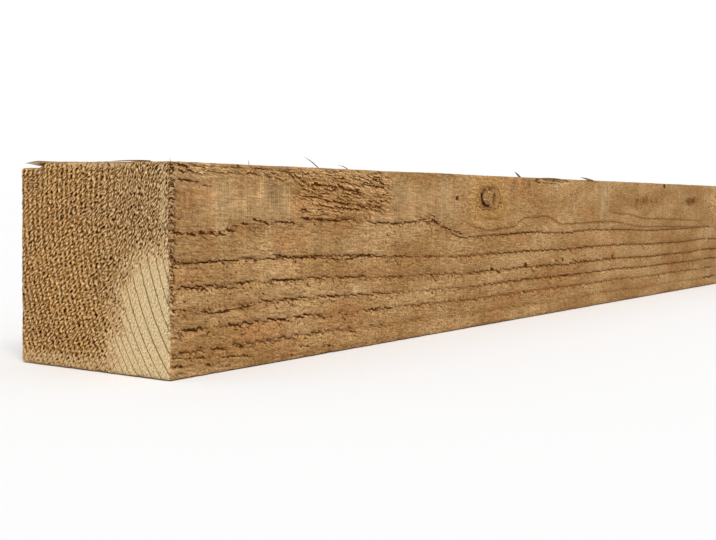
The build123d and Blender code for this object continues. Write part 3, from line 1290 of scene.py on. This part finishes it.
class BEAM_OT_stage(bpy.types.Operator):
    """Sets the pale floor, the soft light and the camera"""

    bl_idname = "beam.stage"
    bl_label = "Set the Stage"

    def execute(self, context):
        scene = context.scene
        stage = scene.beam_stage
        scene.view_settings.view_transform = "Standard"

        # A wide floor just under the beam
        reach, drop = 20.0, 0.0002
        corners = [(-reach, -reach, 0), (reach, -reach, 0), (reach, reach, 0), (-reach, reach, 0)]
        mesh = bpy.data.meshes.new("floor")
        mesh.from_pydata(corners, [], [(0, 1, 2, 3)])
        pale = bpy.data.materials.new("pale_floor")
        pale.use_nodes = True
        shader = pale.node_tree.nodes["Principled BSDF"]
        shader.inputs["Base Color"].default_value = (*stage.floor, 1)
        shader.inputs["Roughness"].default_value = 1.0
        shader.inputs["Specular IOR Level"].default_value = 0.0
        mesh.materials.append(pale)
        floor = new_piece("floor", mesh)
        mesh.transform(Matrix.Translation((0, 0, BEAM_LOW.z - drop)))

        # An even light, which the camera and reflections see as plain white
        world = bpy.data.worlds.new("studio")
        world.use_nodes = True
        scene.world = world
        world.node_tree.nodes.clear()
        bench = Bench(world.node_tree)
        path = bench.node("ShaderNodeLightPath")
        seen = Term(bench, path.outputs["Is Camera Ray"]).most(Term(bench, path.outputs["Is Glossy Ray"]))
        seen = seen.most(Term(bench, path.outputs["Is Transmission Ray"]))
        strength = seen * (1 - stage.sky) + stage.sky
        backdrop = bench.node("ShaderNodeBackground", {"Color": (1, 1, 1, 1), "Strength": strength})
        bench.node("ShaderNodeOutputWorld", {"Surface": backdrop.outputs[0]})

        # A soft lamp high behind the camera
        towards_lamp = Vector((-0.62, -0.58, 1.05))
        lamp = bpy.data.lights.new("soft_lamp", "SUN")
        lamp.energy = stage.sun
        lamp.angle = radians(28)
        sun = new_piece("soft_lamp", lamp)
        sun.rotation_euler = towards_lamp.to_track_quat("Z", "Y").to_euler()

        # The camera, as it was fitted to the beam's outline
        camera = bpy.data.cameras.new("camera")
        camera.sensor_fit = "HORIZONTAL"
        camera.sensor_width = 36.0
        camera.lens = stage.lens
        camera.clip_start = 0.01
        view = new_piece("camera", camera)
        flat = cos(stage.pitch)
        forward = Vector((flat * cos(stage.yaw), flat * sin(stage.yaw), sin(stage.pitch)))
        level = forward.cross(Vector((0, 0, 1))).normalized()
        upright = level.cross(forward)
        right = cos(stage.roll) * level + sin(stage.roll) * upright
        up = cos(stage.roll) * upright - sin(stage.roll) * level
        turn = Matrix((right, up, -forward)).transposed().to_4x4()
        view.matrix_world = Matrix.Translation(stage.eye) @ turn
        scene.camera = view
        return {"FINISHED"}


class BEAM_PT_panel(bpy.types.Panel):
    """Lists the steps and the values that they use"""

    bl_idname = "BEAM_PT_panel"
    bl_label = "Rough-sawn Beam"
    bl_space_type = "VIEW_3D"
    bl_region_type = "UI"
    bl_category = "Beam"

    def draw(self, context):
        for step in STEPS:
            self.layout.operator(step.bl_idname)
        for group in (context.scene.beam_sizes, context.scene.beam_colours, context.scene.beam_stage):
            box = self.layout.box()
            for name in group.__annotations__:
                box.prop(group, name)


GROUPS = {"beam_sizes": BeamSizes, "beam_colours": BeamColours, "beam_stage": BeamStage}
STEPS = (BEAM_OT_saw, BEAM_OT_fray, BEAM_OT_splinter, BEAM_OT_stage)


def register():
    for kind in (*GROUPS.values(), *STEPS, BEAM_PT_panel):
        bpy.utils.register_class(kind)
    for name, group in GROUPS.items():
        setattr(bpy.types.Scene, name, bpy.props.PointerProperty(type=group))


def unregister():
    for name in GROUPS:
        delattr(bpy.types.Scene, name)
    for kind in reversed((*GROUPS.values(), *STEPS, BEAM_PT_panel)):
        bpy.utils.unregister_class(kind)


def main():
    register()
    bpy.ops.beam.saw()
    bpy.ops.beam.fray()
    bpy.ops.beam.splinter()
    bpy.ops.beam.stage()


if __name__ == "__main__":
    main()
